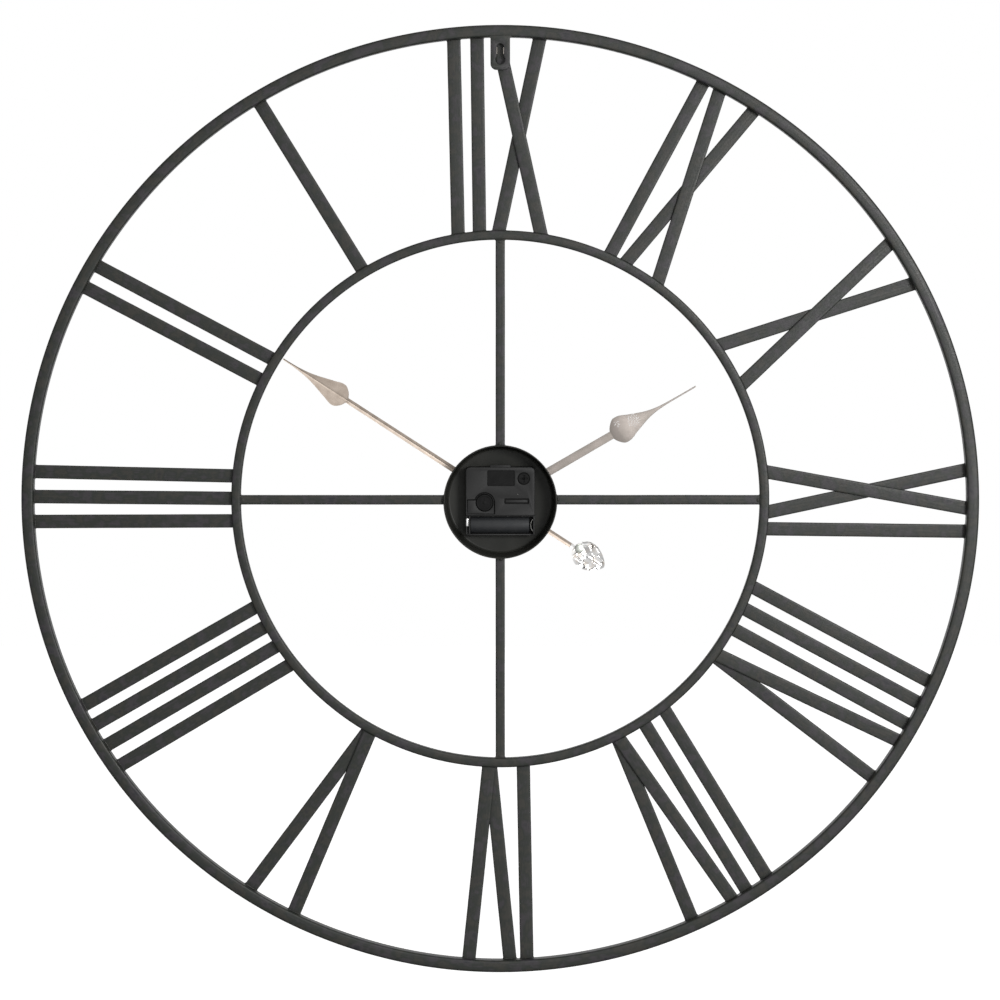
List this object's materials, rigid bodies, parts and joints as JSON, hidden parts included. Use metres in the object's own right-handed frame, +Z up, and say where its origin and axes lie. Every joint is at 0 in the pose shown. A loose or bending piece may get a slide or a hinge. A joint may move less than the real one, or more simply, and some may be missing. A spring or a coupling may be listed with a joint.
{
  "type": "wall clock",
  "caption": "Large round openwork metal wall clock: Roman numeral bars between two rings, spokes to a cup that holds a quartz movement, spade hands, and a keyhole hanger behind.",
  "frame": {"origin": "middle of the clock: on the hands' axis, half way between the wall plane and the front of the hand nut", "axes": "+Z up towards twelve o'clock, +X to the right as the dial is read, the dial faces -Y and the wall side is +Y"},
  "size_m": [0.78, 0.0384, 0.78],
  "materials": {
    "black_steel": "satin black paint over steel bar, rubbed thin along the edges",
    "cup_enamel": "semi-gloss black",
    "champagne_nickel": "satin champagne nickel",
    "bright_nickel": "crinkled, mirror bright",
    "black_plastic": "moulded, semi-gloss",
    "brass": "turned",
    "bright_steel": "stamped sheet",
    "black_rubber": "matt",
    "white_nylon": "moulded",
    "enamelled_copper": "wound enamelled wire",
    "circuit_board": "solder mask",
    "battery_sleeve": "printed sleeve, plain black",
    "magnet": "sintered"
  },
  "bodies": {
    "clock_frame": {"circuit_board": "circuit_board", "coil": "enamelled_copper", "cover_screw": "black_plastic", "front_housing": "black_plastic", "hanger_plate": "black_steel", "hex_nut": "brass", "inner_ring": "black_steel", "movement_cup": "cup_enamel", "negative_contact": "bright_steel", "numeral_01_bar_1": "black_steel", "numeral_02_bar_1": "black_steel", "numeral_02_bar_2": "black_steel", "numeral_03_bar_1": "black_steel", "numeral_03_bar_2": "black_steel", "numeral_03_bar_3": "black_steel", "numeral_04_bar_1": "black_steel", "numeral_04_bar_2": "black_steel", "numeral_04_bar_3": "black_steel", "numeral_04_bar_4": "black_steel", "numeral_05_vee": "black_steel", "numeral_06_bar_1": "black_steel", "numeral_06_vee": "black_steel", "numeral_07_bar_1": "black_steel", "numeral_07_bar_2": "black_steel", "numeral_07_vee": "black_steel", "numeral_08_bar_1": "black_steel", "numeral_08_bar_2": "black_steel", "numeral_08_bar_3": "black_steel", "numeral_08_vee": "black_steel", "numeral_09_bar_1": "black_steel", "numeral_09_cross": "black_steel", "numeral_10_cross": "black_steel", "numeral_11_bar_1": "black_steel", "numeral_11_cross": "black_steel", "numeral_12_bar_1": "black_steel", "numeral_12_bar_2": "black_steel", "numeral_12_cross": "black_steel", "outer_ring": "black_steel", "positive_contact": "bright_steel", "rear_cover": "black_plastic", "rubber_washer": "black_rubber", "spoke_bottom": "black_steel", "spoke_left": "black_steel", "spoke_right": "black_steel", "spoke_top": "black_steel", "stator": "bright_steel"},
    "minute_hand": {"minute_hand": "champagne_nickel", "counterweight_leaf": "bright_nickel", "minute_arbor": "bright_steel", "hand_nut": "champagne_nickel"},
    "hour_hand": {"hour_hand": "champagne_nickel", "hour_wheel": "white_nylon"},
    "minute_wheel": {"minute_wheel": "white_nylon"},
    "time_set_knob": {"time_set_knob": "black_plastic"},
    "rotor": {"rotor": "magnet"},
    "fifth_wheel": {"fifth_wheel": "white_nylon"},
    "second_wheel": {"second_wheel": "white_nylon"},
    "third_wheel": {"third_wheel": "white_nylon"},
    "centre_wheel": {"centre_wheel": "brass"},
    "battery": {"aa_battery": "battery_sleeve"}
  },
  "joints": [
    {"name": "minute_hand_turn", "type": "hinge", "parent": "clock_frame", "child": "minute_hand", "pos_m": [0, -0.01585, 0], "axis": [0, 1, 0], "continuous": true},
    {"name": "hour_hand_turn", "type": "hinge", "parent": "clock_frame", "child": "hour_hand", "pos_m": [0, -0.01335, 0], "axis": [0, 1, 0], "continuous": true},
    {"name": "minute_wheel_turn", "type": "hinge", "parent": "clock_frame", "child": "minute_wheel", "pos_m": [0.00704, -0.00165, 0.0071], "axis": [0, 1, 0], "continuous": true},
    {"name": "time_set_knob_turn", "type": "hinge", "parent": "clock_frame", "child": "time_set_knob", "pos_m": [0.0129, 0.00875, -0.001], "axis": [0, 1, 0], "continuous": true},
    {"name": "rotor_turn", "type": "hinge", "parent": "clock_frame", "child": "rotor", "pos_m": [0.0099, 0.00635, 0.01303], "axis": [0, 1, 0], "continuous": true},
    {"name": "fifth_wheel_turn", "type": "hinge", "parent": "clock_frame", "child": "fifth_wheel", "pos_m": [0.00827, 0.00475, 0.00694], "axis": [0, 1, 0], "continuous": true},
    {"name": "second_wheel_turn", "type": "hinge", "parent": "clock_frame", "child": "second_wheel", "pos_m": [0, 0.00315, 0], "axis": [0, 1, 0], "continuous": true},
    {"name": "third_wheel_turn", "type": "hinge", "parent": "clock_frame", "child": "third_wheel", "pos_m": [-0.00612, 0.00165, 0.00874], "axis": [0, 1, 0], "continuous": true},
    {"name": "centre_wheel_turn", "type": "hinge", "parent": "clock_frame", "child": "centre_wheel", "pos_m": [0, -0.00005, 0], "axis": [0, 1, 0], "continuous": true},
    {"name": "battery_slide", "type": "slide", "parent": "clock_frame", "child": "battery", "axis": [0, 1, 0], "range_m": [0, 0.03]}
  ],
  "couplings": [
    {"joint": "hour_hand_turn", "follows": "minute_hand_turn", "ratio": 0.083333},
    {"joint": "minute_wheel_turn", "follows": "minute_hand_turn", "ratio": -0.33333},
    {"joint": "time_set_knob_turn", "follows": "minute_hand_turn", "ratio": 1},
    {"joint": "fifth_wheel_turn", "follows": "rotor_turn", "ratio": -0.16667},
    {"joint": "second_wheel_turn", "follows": "rotor_turn", "ratio": 0.033333},
    {"joint": "third_wheel_turn", "follows": "rotor_turn", "ratio": -0.0044444},
    {"joint": "centre_wheel_turn", "follows": "rotor_turn", "ratio": 0.00055556}
  ]
}
